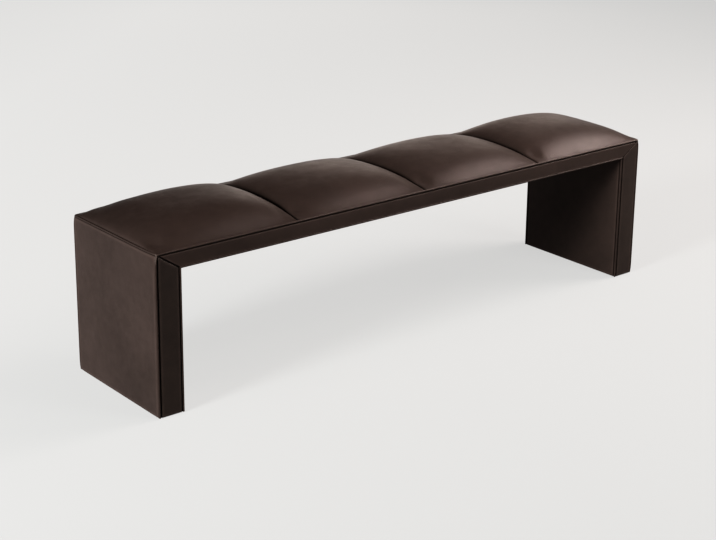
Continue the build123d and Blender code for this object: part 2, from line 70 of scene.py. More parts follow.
# ------------------------------------------------------------------- mesh tools
def soft_noise(p, scale, seed=0.0):
    """Smooth noise at the points p (n, 3), in millimetres, with features of about scale."""
    q = np.asarray(p, float).reshape(-1, 3) / scale
    return np.array([noise.noise(Vector((a + seed, b - 1.7 * seed, c + 0.6 * seed))) for a, b, c in q])


def blunt(p):
    """Rounds off the four upper and the four lower corners of the bench, all layers together.
    At an upper corner the side leather is drawn in over the end of the mitre."""
    p = np.array(p, float)
    shape = p.shape
    p = p.reshape(-1, 3)
    a = HX - np.abs(p[:, 0])
    b = HY - np.abs(p[:, 1])
    up = np.abs(p[:, 0]) > 700
    top = np.abs(TOP - p[:, 2])
    sharp = np.where((p[:, 0] < 0) == (p[:, 1] < 0), 1.0, 0.35)      # no two corners are sewn quite alike
    k = 4.2 * sharp * np.exp(-(np.abs(a) + np.abs(b) + top) / 12.0) * up
    k2 = 2.6 * np.exp(-(np.abs(a) + np.abs(b) + np.abs(p[:, 2] - SKIRT_Z)) / 9.0) * up
    drawn = np.where((p[:, 0] < 0) & (p[:, 1] < 0), 4.6, np.where((p[:, 0] > 0) & (p[:, 1] > 0), 3.4, 0.5))
    draw = drawn * np.exp(-(top / 17.0) ** 1.5 - (np.abs(b) / 26.0) ** 1.5 - (np.abs(a) / 20.0) ** 1.5) * up
    sx, sy = np.sign(p[:, 0]), np.sign(p[:, 1])
    p[:, 0] -= sx * ((k + k2) * 0.7 + draw)
    p[:, 1] -= sy * (k + k2) * 0.7
    p[:, 2] -= k * 0.6
    return p.reshape(shape)


def grid_normals(g):
    """Unit normals of a grid of points (m, n, 3), along du x dv."""
    f = np.cross(g[1:, 1:] - g[:-1, :-1], g[:-1, 1:] - g[1:, :-1])
    n = np.zeros_like(g)
    for a in (slice(0, -1), slice(1, None)):
        for b in (slice(0, -1), slice(1, None)):
            n[a, b] += f
    return n / np.maximum(np.linalg.norm(n, axis=2, keepdims=True), 1e-12)


class Build:
    """Collects closed shells into one mesh, with values kept for each point."""

    def __init__(self):
        self.verts, self.faces, self.edge, self.wear_and_highlight = [], [], [], []
        self.count = 0

    def add(self, verts, faces, edge=None, wear_and_highlight=None):
        verts = np.asarray(verts, float).reshape(-1, 3)
        n = len(verts)
        self.verts.append(verts)
        self.faces += [tuple(int(i) + self.count for i in f) for f in faces]
        self.edge.append(np.zeros(n) if edge is None else np.asarray(edge, float).reshape(-1))
        self.wear_and_highlight.append(np.zeros(n) if wear_and_highlight is None else np.asarray(wear_and_highlight, float).reshape(-1))
        self.count += n

    def shell(self, outer, inner, edge=None, wear_and_highlight=None):
        """A closed shell from two grids of the same size, outer and inner side."""
        m, n = outer.shape[:2]
        ids = np.arange(m * n).reshape(m, n)
        low = ids + m * n
        faces = []
        for i in range(m - 1):
            for j in range(n - 1):
                faces.append((ids[i, j], ids[i + 1, j], ids[i + 1, j + 1], ids[i, j + 1]))
                faces.append((low[i, j], low[i, j + 1], low[i + 1, j + 1], low[i + 1, j]))
        ring = [(i, 0) for i in range(m)] + [(m - 1, j) for j in range(1, n)]
        ring += [(i, n - 1) for i in range(m - 2, -1, -1)] + [(0, j) for j in range(n - 2, 0, -1)]
        for (a, b), (c, d) in zip(ring, ring[1:] + ring[:1]):
            faces.append((ids[c, d], ids[a, b], low[a, b], low[c, d]))
        # The inner side of the leather gets full painted shade and no lighter band.
        e = None if edge is None else np.concatenate([np.ravel(edge), np.ones(m * n)])
        w = None if wear_and_highlight is None else np.concatenate([np.ravel(wear_and_highlight), np.zeros(m * n)])
        self.add(np.concatenate([outer.reshape(-1, 3), inner.reshape(-1, 3)]), faces, e, w)

    def block(self, top, z):
        """A closed block under a grid, down to the level z."""
        m, n = top.shape[:2]
        ids = np.arange(m * n).reshape(m, n)
        faces = [(ids[i, j], ids[i + 1, j], ids[i + 1, j + 1], ids[i, j + 1]) for i in range(m - 1) for j in range(n - 1)]
        low = top.copy()
        low[..., 2] = z
        lower = ids + m * n
        faces += [(lower[i, j], lower[i, j + 1], lower[i + 1, j + 1], lower[i + 1, j]) for i in range(m - 1) for j in range(n - 1)]
        ring = [(i, 0) for i in range(m)] + [(m - 1, j) for j in range(1, n)]
        ring += [(i, n - 1) for i in range(m - 2, -1, -1)] + [(0, j) for j in range(n - 2, 0, -1)]
        for (a, b), (c, d) in zip(ring, ring[1:] + ring[:1]):
            faces.append((ids[c, d], ids[a, b], lower[a, b], lower[c, d]))
        self.add(np.concatenate([top.reshape(-1, 3), low.reshape(-1, 3)]), faces)

    def tube(self, rows, closed=False, edge=None):
        """A closed solid through cross-sections: rows (sections, points, 3)."""
        rows = np.asarray(rows, float)
        m, n = rows.shape[:2]
        ids = np.arange(m * n).reshape(m, n)
        faces = []
        for i in range(m if closed else m - 1):
            a, b = ids[i], ids[(i + 1) % m]
            for j in range(n):
                k = (j + 1) % n
                faces.append((a[j], b[j], b[k], a[k]))
        if not closed:
            faces += [tuple(ids[0]), tuple(ids[-1][::-1])]
        e = np.zeros((m, n)) if edge is None else np.broadcast_to(np.asarray(edge, float), (m, n))
        self.add(rows, faces, e)

    def object(self, name, material, slot, nodes=(), sharp=50):
        me = bpy.data.meshes.new(name)
        v = blunt(np.concatenate(self.verts)) * MM
        me.from_pydata([tuple(p) for p in v], [], self.faces)
        # Point values for the leather: painted shade in grooves and turned edges, and a lighter band on rolled edges
        # that is part rubbed wear, part painted highlight.
        for label, values in (("edge", self.edge), ("wear_and_highlight", self.wear_and_highlight)):
            at = me.attributes.new(label, "FLOAT", "POINT")
            at.data.foreach_set("value", np.concatenate(values).astype(np.float32))
        me.materials.append(material)
        me.polygons.foreach_set("use_smooth", [True] * len(me.polygons))
        me.validate()
        me.update()
        me.set_sharp_from_angle(angle=math.radians(sharp))
        o = bpy.data.objects.new(name, me)
        scene.collection.objects.link(o)
        # All faces point out of their own closed shell.
        import bmesh
        bm = bmesh.new()
        bm.from_mesh(me)
        bmesh.ops.recalc_face_normals(bm, faces=bm.faces)
        bm.to_mesh(me)
        bm.free()
        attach(o, "root")
        if nodes:
            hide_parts(*nodes)
        return o


def stations(length, r0, r1, step, k=7):
    """Places from 0 to length, set along the rolled edge of radius r0 at the start and r1 at the end."""
    out0 = list(r0 * (1 - np.cos(np.linspace(0, math.pi / 2, k + 1))))
    out1 = [length - d for d in r1 * (1 - np.cos(np.linspace(0, math.pi / 2, k + 1)))]
    grow, a, b = [], r0, length - r1
    d0, d1 = max(0.8, r0 / 4), max(0.8, r1 / 4)
    left, right = [], []
    while d0 < step and a + d0 < length / 2:
        a += d0
        left.append(a)
        d0 *= 1.45
    while d1 < step and b - d1 > length / 2:
        b -= d1
        right.append(b)
        d1 *= 1.45
    a, b = (left or [r0])[-1], (right or [length - r1])[-1]
    n = max(1, int(round((b - a) / step)))
    mid = [a + (b - a) * i / n for i in range(1, n)]
    grow = left + mid + right[::-1]
    return np.array(out0 + grow + out1[::-1])


def rolled(d, r, depth):
    """How far a turned edge lies below the panel at the distance d from its border."""
    t = np.clip(1 - d / r, 0, 1)
    return depth * (1 - np.sqrt(np.clip(1 - t * t, 0, 1)))


def panel(build, corners, outward, rolls, seed, bulge=0.9, wave=0.35, step=9.0, hide=HIDE, bend=None, puckers=0.25):
    """A sheet of leather with turned edges, over the four corners (u0v0, u1v0, u1v1, u0v1).
    rolls holds the radius and the depth of the turned edge at u0, u1, v0 and v1."""
    c = [np.array(p, float) for p in corners]
    nrm = np.array(outward, float)
    lu = (np.linalg.norm(c[1] - c[0]) + np.linalg.norm(c[2] - c[3])) / 2
    lv = (np.linalg.norm(c[3] - c[0]) + np.linalg.norm(c[2] - c[1])) / 2
    (ru0, du0), (ru1, du1), (rv0, dv0), (rv1, dv1) = rolls
    us, vs = stations(lu, ru0, ru1, step), stations(lv, rv0, rv1, step)
    u, v = np.meshgrid(us / lu, vs / lv, indexing="ij")
    w = [(1 - u) * (1 - v), u * (1 - v), u * v, (1 - u) * v]
    p = sum(wi[..., None] * ci for wi, ci in zip(w, c))
    if bend is not None:
        p = bend(p, u, v)
    d = [u * lu, (1 - u) * lu, v * lv, (1 - v) * lv]
    low = [rolled(d[0], ru0, du0), rolled(d[1], ru1, du1), rolled(d[2], rv0, dv0), rolled(d[3], rv1, dv1)]
    drop = np.sqrt(sum(x * x for x in low))
    drop = np.minimum(drop, max(du0, du1, dv0, dv1))
    near = np.minimum(np.minimum(d[0], d[1]), np.minimum(d[2], d[3]))
    fade = 1 - np.exp(-near / 14.0)
    flat = p.reshape(-1, 3)
    waves = soft_noise(flat, 170, seed).reshape(u.shape) + 0.35 * soft_noise(flat, 60, seed + 5).reshape(u.shape)
    pucker = soft_noise(flat, 9, seed + 9).reshape(u.shape) * np.exp(-((near - 5.0) / 7.0) ** 2)
    h = -drop + fade * (bulge * (1 - (2 * u - 1) ** 4) * (1 - (2 * v - 1) ** 4) + wave * waves) + puckers * pucker - 0.45
    outer = p + h[..., None] * nrm
    n = grid_normals(outer)
    if np.sum(n[n.shape[0] // 2, n.shape[1] // 2] * nrm) < 0:
        n = -n
    inner = outer - hide * n
    depth = max(du0, du1, dv0, dv1)
    # Painted shade: the deeper the turned edge sinks into its groove, the darker it is painted.
    edge = np.clip(drop / depth, 0, 1) ** 1.3
    # Lighter band on the roll: part rubbed wear, part painted highlight.
    wear_and_highlight = np.exp(-((near - 4.5) / 2.6) ** 2) * (0.75 + 0.6 * soft_noise(flat, 22, seed + 3).reshape(u.shape))
    build.shell(outer, inner, edge, np.clip(wear_and_highlight, 0, 1) * (1 - edge))


# ------------------------------------------------------------------- materials
def node_tree(name):
    m = bpy.data.materials.new(name)
    m.use_nodes = True
    nt = m.node_tree
    nt.nodes.clear()
    out = nt.nodes.new("ShaderNodeOutputMaterial")
    bsdf = nt.nodes.new("ShaderNodeBsdfPrincipled")
    nt.links.new(bsdf.outputs["BSDF"], out.inputs["Surface"])
    return m, nt, bsdf


def add_node(nt, kind, **values):
    n = nt.nodes.new(kind)
    for k, v in values.items():
        if k.startswith("in_"):
            key = k[3:]
            n.inputs[int(key) if key.isdigit() else key.replace("_", " ")].default_value = v
        else:
            setattr(n, k, v)
    return n


def link(nt, a, b):
    nt.links.new(a, b)


def coords(nt):
    return add_node(nt, "ShaderNodeTexCoord").outputs["Object"]


def stretch(nt, vec, scale):
    n = add_node(nt, "ShaderNodeMapping")
    n.inputs["Scale"].default_value = scale
    link(nt, vec, n.inputs["Vector"])
    return n.outputs["Vector"]


def noise_tex(nt, vec, scale, detail=3.0, rough=0.5, distortion=0.0):
    n = add_node(nt, "ShaderNodeTexNoise", in_Scale=scale, in_Detail=detail, in_Roughness=rough, in_Distortion=distortion)
    link(nt, vec, n.inputs["Vector"])
    return n.outputs["Fac"]


def voronoi(nt, vec, scale, feature="F1", randomness=1.0):
    n = add_node(nt, "ShaderNodeTexVoronoi", feature=feature, in_Scale=scale, in_Randomness=randomness)
    link(nt, vec, n.inputs["Vector"])
    return n.outputs["Distance"]


def ramp(nt, fac, stops):
    n = add_node(nt, "ShaderNodeValToRGB")
    els = n.color_ramp.elements
    while len(els) < len(stops):
        els.new(0.5)
    for e, (pos, col) in zip(els, stops):
        e.position, e.color = pos, (*col, 1.0) if len(col) == 3 else col
    link(nt, fac, n.inputs["Fac"])
    return n.outputs["Color"]


def remap(nt, fac, a, b, c, d):
    n = add_node(nt, "ShaderNodeMapRange", in_From_Min=a, in_From_Max=b, in_To_Min=c, in_To_Max=d)
    link(nt, fac, n.inputs["Value"])
    return n.outputs["Result"]


def calc(nt, op, a, b, clamp=False):
    n = add_node(nt, "ShaderNodeMath", operation=op, use_clamp=clamp)
    for i, x in enumerate((a, b)):
        if isinstance(x, (int, float)):
            n.inputs[i].default_value = x
        else:
            link(nt, x, n.inputs[i])
    return n.outputs[0]


def mix_colour(nt, fac, a, b, blend="MIX"):
    n = add_node(nt, "ShaderNodeMix", data_type="RGBA", blend_type=blend)
    for sock, x in ((n.inputs[0], fac), (n.inputs[6], a), (n.inputs[7], b)):
        if isinstance(x, (int, float)):
            sock.default_value = x
        elif isinstance(x, tuple):
            sock.default_value = (*x, 1.0)
        else:
            link(nt, x, sock)
    return n.outputs[2]


def bump(nt, height, strength, distance, normal=None):
    n = add_node(nt, "ShaderNodeBump", in_Strength=strength, in_Distance=distance)
    link(nt, height, n.inputs["Height"])
    if normal is not None:
        link(nt, normal, n.inputs["Normal"])
    return n.outputs["Normal"]


def attribute(nt, name):
    return add_node(nt, "ShaderNodeAttribute", attribute_name=name, attribute_type="GEOMETRY").outputs["Fac"]


def leather(name, dark, light, rough=0.40, specular=0.32, sheen=0.0, tint=(1.0, 1.0, 1.0), grain=1.0, offset=0.0):
    """Smooth dyed upholstery leather: cloudy colour, fine pebbled grain, pores, painted shade in the sewn grooves and
    on the turned-in edges, and a lighter band on the rolled edges that is part rubbed wear, part painted highlight.
    """
    m, nt, bsdf = node_tree(name)
    at = coords(nt)
    if offset:
        mv = add_node(nt, "ShaderNodeMapping")
        mv.inputs["Location"].default_value = (offset, 0.37 * offset, -0.21 * offset)
        link(nt, at, mv.inputs["Vector"])
        at = mv.outputs["Vector"]
    cloud = noise_tex(nt, at, 4.2, 4.0, 0.55, 0.4)
    mottle = noise_tex(nt, at, 38.0, 3.0, 0.6)
    speck = noise_tex(nt, at, 420.0, 2.0, 0.5)
    blend = calc(nt, "ADD", calc(nt, "MULTIPLY", cloud, 0.62), calc(nt, "MULTIPLY", mottle, 0.28))
    blend = calc(nt, "ADD", blend, calc(nt, "MULTIPLY", speck, 0.10))
    col = ramp(nt, blend, [(0.36, dark), (0.64, light)])
    edge, wear_and_highlight = attribute(nt, "edge"), attribute(nt, "wear_and_highlight")
    # Lighter band on the rolled edges: part rubbed wear, part painted highlight where the roll catches the light.
    col = mix_colour(nt, calc(nt, "MULTIPLY", wear_and_highlight, 0.30), col, tuple(min(1.0, 2.1 * c) for c in light))
    # Painted shade: grooves, seams and turned-in edges are mixed towards near-black, where shadow falls in them.
    col = mix_colour(nt, calc(nt, "MULTIPLY", edge, 0.66, clamp=True), col, (0.0012, 0.0009, 0.0008))
    link(nt, col, bsdf.inputs["Base Color"])
    # Pebbled grain: cells of about 1.4 mm whose size and depth wander, with pores between them.
    warp = add_node(nt, "ShaderNodeTexNoise", in_Scale=160.0, in_Detail=2.0)
    link(nt, at, warp.inputs["Vector"])
    moved = add_node(nt, "ShaderNodeMix", data_type="VECTOR")
    moved.inputs[0].default_value = 0.0016
    link(nt, at, moved.inputs[4])
    link(nt, warp.outputs["Color"], moved.inputs[5])
    cells = voronoi(nt, moved.outputs[1], 720.0 * grain, "DISTANCE_TO_EDGE")
    creases = remap(nt, cells, 0.0, 0.16, 0.0, 1.0)
    small = voronoi(nt, moved.outputs[1], 1900.0 * grain)
    follow = noise_tex(nt, at, 26.0, 2.0)
    height = calc(nt, "ADD", calc(nt, "MULTIPLY", creases, remap(nt, follow, 0.3, 0.7, 0.25, 0.6)), calc(nt, "MULTIPLY", small, 0.35))
    n1 = bump(nt, height, 0.22, 0.0005)
    soft = noise_tex(nt, at, 21.0, 3.0, 0.55)
    n2 = bump(nt, soft, 0.10, 0.004, n1)
    link(nt, n2, bsdf.inputs["Normal"])
    shine = calc(nt, "ADD", remap(nt, cloud, 0.3, 0.7, rough + 0.045, rough - 0.035), remap(nt, mottle, 0.3, 0.7, 0.03, -0.03))
    shine = calc(nt, "ADD", shine, calc(nt, "MULTIPLY", edge, 0.25))
    link(nt, shine, bsdf.inputs["Roughness"])
    bsdf.inputs["Specular IOR Level"].default_value = specular
    bsdf.inputs["Specular Tint"].default_value = (*tint, 1.0)
    bsdf.inputs["Sheen Weight"].default_value = sheen
    bsdf.inputs["Sheen Roughness"].default_value = 0.45
    bsdf.inputs["Sheen Tint"].default_value = (*tint, 1.0)
    return m


def thread_material():
    m, nt, bsdf = node_tree("waxed_thread")
    at = coords(nt)
    wave = add_node(nt, "ShaderNodeTexWave", in_Scale=900.0, in_Distortion=1.5)
    link(nt, at, wave.inputs["Vector"])
    link(nt, ramp(nt, wave.outputs["Fac"], [(0.2, (0.010, 0.007, 0.006)), (0.8, (0.034, 0.024, 0.020))]), bsdf.inputs["Base Color"])
    link(nt, bump(nt, wave.outputs["Fac"], 0.5, 0.0001), bsdf.inputs["Normal"])
    bsdf.inputs["Roughness"].default_value = 0.5
    return m


def cloth_material(name, a, b, scale):
    m, nt, bsdf = node_tree(name)
    at = coords(nt)
    wx = add_node(nt, "ShaderNodeTexWave", in_Scale=scale, in_Distortion=0.4, bands_direction="X")
    wy = add_node(nt, "ShaderNodeTexWave", in_Scale=scale, in_Distortion=0.4, bands_direction="Y")
    link(nt, at, wx.inputs["Vector"])
    link(nt, at, wy.inputs["Vector"])
    weave = calc(nt, "MULTIPLY", wx.outputs["Fac"], wy.outputs["Fac"])
    fuzz = noise_tex(nt, at, 60.0, 4.0)
    col = ramp(nt, calc(nt, "ADD", calc(nt, "MULTIPLY", weave, 0.7), calc(nt, "MULTIPLY", fuzz, 0.3)), [(0.15, a), (0.85, b)])
    link(nt, col, bsdf.inputs["Base Color"])
    link(nt, bump(nt, weave, 0.5, 0.0003), bsdf.inputs["Normal"])
    link(nt, remap(nt, fuzz, 0.3, 0.7, 0.88, 0.97), bsdf.inputs["Roughness"])
    bsdf.inputs["Specular IOR Level"].default_value = 0.2
    return m


def foam_material():
    m, nt, bsdf = node_tree("upholstery_foam")
    at = coords(nt)
    pores = voronoi(nt, at, 520.0)
    big = noise_tex(nt, at, 12.0, 3.0)
    col = ramp(nt, calc(nt, "ADD", calc(nt, "MULTIPLY", pores, 0.5), calc(nt, "MULTIPLY", big, 0.5)),
               [(0.15, (0.50, 0.43, 0.28)), (0.7, (0.78, 0.72, 0.55))])
    link(nt, col, bsdf.inputs["Base Color"])
    link(nt, bump(nt, pores, 0.6, 0.0008), bsdf.inputs["Normal"])
    link(nt, remap(nt, big, 0.3, 0.7, 0.9, 0.98), bsdf.inputs["Roughness"])
    return m


def plywood_material(name, pale, deep, layers=True):
    m, nt, bsdf = node_tree(name)
    at = coords(nt)
    rings = noise_tex(nt, stretch(nt, at, (2.2, 26.0, 26.0)), 3.0, 5.0, 0.6, 1.2)
    streak = noise_tex(nt, stretch(nt, at, (12.0, 260.0, 260.0)), 2.0, 3.0)
    blend = calc(nt, "ADD", calc(nt, "MULTIPLY", rings, 0.7), calc(nt, "MULTIPLY", streak, 0.3))
    col = ramp(nt, blend, [(0.34, deep), (0.66, pale)])
    if layers:
        w = add_node(nt, "ShaderNodeTexWave", in_Scale=105.0, in_Distortion=0.5, bands_direction="Z")
        link(nt, at, w.inputs["Vector"])
        col = mix_colour(nt, calc(nt, "MULTIPLY", w.outputs["Fac"], 0.18), col, deep)
    link(nt, col, bsdf.inputs["Base Color"])
    link(nt, bump(nt, blend, 0.25, 0.0006), bsdf.inputs["Normal"])
    link(nt, remap(nt, streak, 0.3, 0.7, 0.62, 0.78), bsdf.inputs["Roughness"])
    return m


def steel_material(name, a, b, metallic, rough, scale):
    m, nt, bsdf = node_tree(name)
    at = coords(nt)
    n = noise_tex(nt, at, scale, 4.0, 0.6)
    fine = noise_tex(nt, at, scale * 14, 2.0)
    blend = calc(nt, "ADD", calc(nt, "MULTIPLY", n, 0.6), calc(nt, "MULTIPLY", fine, 0.4))
    link(nt, ramp(nt, blend, [(0.3, a), (0.7, b)]), bsdf.inputs["Base Color"])
    link(nt, remap(nt, blend, 0.3, 0.7, rough - 0.07, rough + 0.09), bsdf.inputs["Roughness"])
    link(nt, bump(nt, fine, 0.3, 0.0002), bsdf.inputs["Normal"])
    bsdf.inputs["Metallic"].default_value = metallic
    return m


def plastic_material():
    m, nt, bsdf = node_tree("moulded_plastic")
    at = coords(nt)
    spark = voronoi(nt, at, 1500.0)
    n = noise_tex(nt, at, 90.0, 3.0)
    link(nt, ramp(nt, n, [(0.3, (0.012, 0.012, 0.013)), (0.7, (0.024, 0.024, 0.025))]), bsdf.inputs["Base Color"])
    link(nt, bump(nt, spark, 0.35, 0.0002), bsdf.inputs["Normal"])
    link(nt, remap(nt, n, 0.3, 0.7, 0.45, 0.6), bsdf.inputs["Roughness"])
    return m


DARK, LIGHT = (0.0152, 0.0105, 0.0090), (0.0226, 0.0156, 0.0134)
SOFT = {"specular": 0.09, "tint": (1.0, 0.82, 0.75)}
seat_mat = leather("seat_leather", DARK, LIGHT, rough=0.40, **SOFT)
side_mat = leather("side_leather", DARK, LIGHT, rough=0.41, offset=1.3, **SOFT)
leg_mat = leather("leg_leather", (0.0145, 0.0107, 0.0093), (0.0210, 0.0152, 0.0130), rough=0.41, offset=2.9, **SOFT)
rail_mat = leather("rail_leather", DARK, LIGHT, rough=0.41, offset=4.1, **SOFT)
welt_mat = leather("welt_leather", DARK, LIGHT, rough=0.39, grain=1.3, offset=5.7, **SOFT)
thread_mat = thread_material()
foam_mat = foam_material()
lining_mat = cloth_material("lining_cloth", (0.004, 0.004, 0.004), (0.022, 0.022, 0.023), 330.0)
ply_mat = plywood_material("plywood", (0.62, 0.45, 0.27), (0.40, 0.25, 0.13))
hardboard_mat = plywood_material("hardboard", (0.22, 0.13, 0.07), (0.12, 0.07, 0.035), layers=False)
frame_mat = steel_material("frame_steel", (0.010, 0.010, 0.011), (0.022, 0.022, 0.024), 0.0, 0.42, 30.0)
zinc_mat = steel_material("zinc_steel", (0.42, 0.43, 0.45), (0.66, 0.67, 0.68), 1.0, 0.34, 55.0)
glide_mat = plastic_material()

FINISH = {"seat_leather": seat_mat, "side_leather": side_mat, "leg_leather": leg_mat, "rail_leather": rail_mat,
          "welt_leather": welt_mat, "foam": foam_mat, "lining_cloth": lining_mat, "plywood": ply_mat,
          "hardboard": hardboard_mat, "frame_steel": frame_mat, "zinc_steel": zinc_mat, "glide_plastic": glide_mat}
for row in frame["record"]["subparts"]:
    o = NODES[row["node"]]
    o.data.materials.clear()
    o.data.materials.append(FINISH[row["material_slot"]])


# --------------------------------------------------------------------- cushions
def channel_rise(y):
    return SEAM_RISE * (1 - np.minimum(1.0, np.abs(y) / SEAT_Y) ** EXP_SEAM)


def seat_top(i, x, y):
    """Height of cushion i over the level of the arris."""
    x0, x1 = ENDS[i], ENDS[i + 1]
    s = np.clip((x - x0) / (x1 - x0), 0, 1)
    u, v = np.abs(2 * s - 1), np.minimum(1.0, np.abs(y) / SEAT_Y)
    rise = CROWN[i] * (1 - u ** EXP_X) ** POW_X * (1 - v ** EXP_Y) ** POW_Y
    left = 0.0 if i == 0 else channel_rise(y)
    right = 0.0 if i == 3 else channel_rise(y)
    return rise + left * (1 - s) + right * s


HEM_R, HEM_D = 2.4, 0.8                # turned edge along the piping: shallow, the piping hides it

for i in range(4):
    end0, end1 = i == 0, i == 3
    xa = -845.5 if end0 else ENDS[i] + 0.35
    xb = 845.5 if end1 else ENDS[i + 1] - 0.35
    ra, rb = (HEM_R if end0 else 7.0), (HEM_R if end1 else 4.5)
    da, db = (HEM_D if end0 else 8.0), (HEM_D if end1 else 7.0)
    ya = 188.5
    xs = xa + stations(xb - xa, ra, rb, 6.0)
    ys = -ya + stations(2 * ya, HEM_R, HEM_R, 6.0)
    x, y = np.meshgrid(xs, ys, indexing="ij")
    low_x = np.maximum(rolled(x - xa, ra, da), rolled(xb - x, rb, db))
    low_y = np.maximum(rolled(y + ya, HEM_R, HEM_D), rolled(ya - y, HEM_R, HEM_D))
    drop = np.maximum(low_x, low_y)
    z = TOP + seat_top(i, x, y) - drop
    # Slight unevenness of the stuffing, and fine gathers where the leather is sewn down.
    pts = np.stack([x, y, z], -1)
    flat = pts.reshape(-1, 3) * (1, 1, 0)
    d_seam = np.minimum(9e9 if end0 else x - xa, 9e9 if end1 else xb - x)
    d_edge = np.minimum(np.minimum(x - xa, xb - x), np.minimum(y + ya, ya - y))
    fade = 1 - np.exp(-d_edge / 25.0)
    lumps = soft_noise(flat, 120, 3.1 + i).reshape(x.shape) * 0.9 + soft_noise(flat, 45, 7.7 + i).reshape(x.shape) * 0.25
    gather = soft_noise(flat * (0.25, 1, 1), 11, 11.3 + i).reshape(x.shape) * np.exp(-np.abs(d_seam - 7) / 8.0)
    hem = soft_noise(flat * (1, 0.25, 1), 10, 17.9 + i).reshape(x.shape) * np.exp(-np.abs(np.minimum(y + ya, ya - y) - 6) / 6.0)
    # The leather dips a little inside each corner, where the sewing holds it down.
    dips = 0.0
    for cx, sx in ((xa, 1), (xb, -1)):
        for cy, sy in ((-ya, 1), (ya, -1)):
            across, along = (x - cx) * sx, (y - cy) * sy
            deep = 0.4 if sy < 0 else (6.2 if sx > 0 else 1.6)
            dips = dips + deep * np.exp(-((across - 24) / 17.0) ** 2 - ((along - 42) / 22.0) ** 2)
    if end0:                           # and stands a little fuller at the rear left
        dips = dips - 3.4 * np.exp(-((x - xa - 36) / 30.0) ** 2 - ((ya - y - 25) / 18.0) ** 2)
        dips = dips - 1.0 * np.exp(-((x - xa - 100) / 40.0) ** 2 - ((ya - y - 40) / 26.0) ** 2)
    pts[..., 2] += lumps * fade + 0.55 * gather + 0.30 * hem - dips
    n = grid_normals(pts)
    if n[n.shape[0] // 2, n.shape[1] // 2, 2] < 0:
        n = -n
    # Painted shade in the channel seams and, faintly, along the hem under the piping.
    seam = np.maximum(0 if end0 else np.clip(rolled(x - xa, ra, da) / 2.6, 0, 1), 0 if end1 else np.clip(rolled(xb - x, rb, db) / 7.0, 0, 1))
    edge = np.maximum(seam ** 1.1, 0.12 * np.clip(drop / HEM_D, 0, 1) ** 1.5)
    b = Build()
    b.shell(pts, pts - HIDE * n, edge, np.zeros_like(edge))
    skin = b.object(f"cushion_leather_{i + 1}", seat_mat, "seat_leather", [f"seat_leather_{i + 1}"])

    # The foam block under it, just clear of the leather.
    keep = lambda a, lo, hi: np.where((a > lo) & (a < hi))[0]
    ix = keep(xs, xa + (15 if end0 else 5.5), xb - (15 if end1 else 5.5))
    iy = keep(ys, -ya + 15, ya - 15)
    core = (pts - (HIDE + 0.8) * n)[np.ix_(ix, iy)]
    core = core[::2, ::2]
    b = Build()
    b.block(core, FOAM_Z + 0.05)
    foam = b.object(f"cushion_foam_{i + 1}", foam_mat, "foam", [f"seat_foam_{i + 1}"])


# ------------------------------------------------------------ piped edges, seams
def bead_profile(r=BEAD_R, reach=13.0, depth=3.9, thick=1.0, n=18):
    """Outline of a piped edge in (a, b): distances behind the two faces that meet there.
    A round bead in the corner, and the flange that is sewn in under both panels."""
    s = math.sqrt(max(0.0, r * r - (depth - r) ** 2))
    t0 = math.atan2(s, depth - r)
    pts = [(r + r * math.cos(t), r + r * math.sin(t)) for t in np.linspace(t0, 2 * math.pi + math.pi / 2 - t0, n)]
    pts += [(reach, depth), (reach, depth + thick), (depth + thick, depth + thick), (depth + thick, reach), (depth, reach)]
    # Painted shade on the flange under the panels and in the crease where the bead meets it.
    edge = [0.0] * n + [1.0] * 5
    edge[0] = edge[-6] = 1.0
    edge[1] = edge[-7] = 0.6
    return np.array(pts), np.array(edge)


def uneven(k, amount, seed):
    """A slow wander of the bead's size along its run."""
    return 1 + amount * np.array([noise.noise(Vector((j * 0.37 + seed, seed * 0.7, 0.3))) for j in range(k)])


def upright_bead(build, sx, sy, x_face, z0, z1, lean=0.0, step=6.0):
    """A piped edge up a corner. x_face is the face towards the side, and lean pulls its top in."""
    prof, edge = bead_profile()
    n = max(2, int((z1 - z0) / step))
    zs = np.linspace(z0, z1, n + 1)
    size = uneven(n + 1, 0.03, x_face * 0.01 + sy)
    toward = sx if abs(x_face) > LEG_IN + 1 else -sx
    rows = []
    for z, k in zip(zs, size):
        pull = lean * max(0.0, 1 - (z1 - z) / 24.0) ** 2
        a = prof[:, 0] * k + pull
        b = prof[:, 1] * k + pull
        rows.append(np.stack([x_face - toward * a, sy * (HY - b), np.full(len(a), z)], -1))
    build.tube(rows, edge=edge)


def ring_points(a, n_long=150, n_short=40, radius=7.0, k=8):
    """A rounded rectangle, a millimetres inside the outline of the bench."""
    hx, hy, r = HX - a, HY - a, max(radius - a, 0.25)
    pts = []
    for cx, cy, start in ((hx - r, hy - r, 0), (-(hx - r), hy - r, 90), (-(hx - r), -(hy - r), 180), (hx - r, -(hy - r), 270)):
        for t in np.radians(np.linspace(start, start + 90, k + 1)):
            pts.append((cx + r * math.cos(t), cy + r * math.sin(t)))
        nx = n_long if start in (0, 180) else n_short
        c2x, c2y, s2 = {0: (-(hx - r), hy - r, 90), 90: (-(hx - r), -(hy - r), 180), 180: (hx - r, -(hy - r), 270), 270: (hx - r, hy - r, 0)}[start]
        p0 = np.array(pts[-1])
        p1 = np.array((c2x + r * math.cos(math.radians(s2)), c2y + r * math.sin(math.radians(s2))))
        for t in np.linspace(0, 1, nx + 1)[1:-1]:
            pts.append(tuple(p0 + (p1 - p0) * t))
    return np.array(pts)


